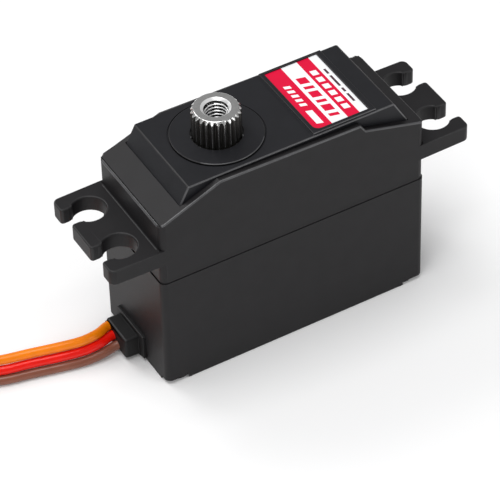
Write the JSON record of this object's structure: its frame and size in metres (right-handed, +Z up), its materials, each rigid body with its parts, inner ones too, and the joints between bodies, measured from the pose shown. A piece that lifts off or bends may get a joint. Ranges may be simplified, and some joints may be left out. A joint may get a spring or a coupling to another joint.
{
  "type": "hobby servo motor",
  "caption": "Small geared hobby servo with a toothed output spline, two keyhole mounting ears and a three-wire lead with a plug.",
  "frame": {"origin": "centre of the case's underside, without the lead", "axes": "+X along the case away from the lead, +Y across the case, +Z up along the output shaft"},
  "size_m": [0.1183, 0.0179, 0.0329],
  "materials": {
    "case_plastic": "satin",
    "cover_plastic": "satin",
    "screw_steel": "satin",
    "label_film": "gloss",
    "grommet_rubber": "matt",
    "spline_steel": "machined",
    "gear_brass": "machined",
    "gear_steel": "machined",
    "bearing_steel": "polished",
    "can_steel": "satin",
    "bush_bronze": "satin",
    "white_plastic": "satin",
    "component_plastic": "matt",
    "board_laminate": "satin",
    "capacitor_sleeve": "satin",
    "orange_pvc": "gloss",
    "red_pvc": "gloss",
    "brown_pvc": "gloss",
    "plug_plastic": "satin"
  },
  "bodies": {
    "case": {"upper_case": "case_plastic", "lower_case": "case_plastic", "bottom_cover": "case_plastic", "top_cover": "cover_plastic", "case_screws": "screw_steel", "label": "label_film", "cable_grommet": "grommet_rubber", "hank_tie": "grommet_rubber", "brushes": "gear_brass", "plug_contacts": "gear_brass", "gear_pin": "gear_steel", "motor_magnets": "gear_steel", "upper_bearing_outer": "bearing_steel", "lower_bearing_outer": "bearing_steel", "motor_can": "can_steel", "motor_terminals": "can_steel", "pot_terminals": "can_steel", "motor_bushes": "bush_bronze", "motor_end_cap": "white_plastic", "pot_body": "component_plastic", "pot_element": "component_plastic", "microcontroller": "component_plastic", "motor_driver": "component_plastic", "small_capacitors": "component_plastic", "circuit_board": "board_laminate", "supply_capacitor": "capacitor_sleeve", "signal_wire": "orange_pvc", "power_wire": "red_pvc", "wire_hank": "red_pvc", "ground_wire": "brown_pvc", "plug_housing": "plug_plastic"},
    "rotor": {"motor_shaft": "gear_steel", "motor_pinion": "gear_brass", "armature_core": "gear_steel", "armature_coils": "bush_bronze", "commutator": "gear_brass"},
    "first_gear": {"gear_1_wheel": "gear_brass", "gear_1_pinion": "gear_steel"},
    "second_gear": {"gear_2_wheel": "gear_brass", "gear_2_pinion": "gear_steel"},
    "third_gear": {"gear_3_wheel": "gear_brass", "gear_3_pinion": "gear_steel"},
    "output": {"output_shaft": "spline_steel", "output_gear": "gear_brass", "upper_bearing_inner": "bearing_steel", "lower_bearing_inner": "bearing_steel", "pot_shaft": "white_plastic", "pot_wiper": "gear_brass"},
    "upper_balls": {"upper_bearing_balls": "bearing_steel"},
    "lower_balls": {"lower_bearing_balls": "bearing_steel"}
  },
  "joints": [
    {"name": "motor_spin", "type": "hinge", "parent": "case", "child": "rotor", "pos_m": [0.0071, 0, 0.02], "axis": [0, 0, 1], "range_deg": [-16662.86, 16662.86]},
    {"name": "first_gear_spin", "type": "hinge", "parent": "case", "child": "first_gear", "pos_m": [0.0009, 0, 0.02], "axis": [0, 0, 1], "range_deg": [-3334.24, 3334.24]},
    {"name": "second_gear_spin", "type": "hinge", "parent": "case", "child": "second_gear", "pos_m": [-0.006, 0, 0.02], "axis": [0, 0, 1], "range_deg": [-740.94, 740.94]},
    {"name": "third_gear_spin", "type": "hinge", "parent": "case", "child": "third_gear", "pos_m": [0.0009, 0, 0.02], "axis": [0, 0, 1], "range_deg": [-324.16, 324.16]},
    {"name": "output_turn", "type": "hinge", "parent": "case", "child": "output", "pos_m": [-0.006, 0, 0.02], "axis": [0, 0, 1], "range_deg": [-90.05, 90.05]},
    {"name": "upper_balls_spin", "type": "hinge", "parent": "case", "child": "upper_balls", "pos_m": [-0.006, 0, 0.02], "axis": [0, 0, 1], "range_deg": [-38.27, 38.27]},
    {"name": "lower_balls_spin", "type": "hinge", "parent": "case", "child": "lower_balls", "pos_m": [-0.006, 0, 0.02], "axis": [0, 0, 1], "range_deg": [-36.02, 36.02]}
  ],
  "couplings": [
    {"joint": "first_gear_spin", "follows": "motor_spin", "ratio": -0.2},
    {"joint": "second_gear_spin", "follows": "motor_spin", "ratio": 0.044444},
    {"joint": "third_gear_spin", "follows": "motor_spin", "ratio": -0.019444},
    {"joint": "output_turn", "follows": "motor_spin", "ratio": 0.0054012},
    {"joint": "upper_balls_spin", "follows": "motor_spin", "ratio": 0.0022955},
    {"joint": "lower_balls_spin", "follows": "motor_spin", "ratio": 0.0021605}
  ]
}
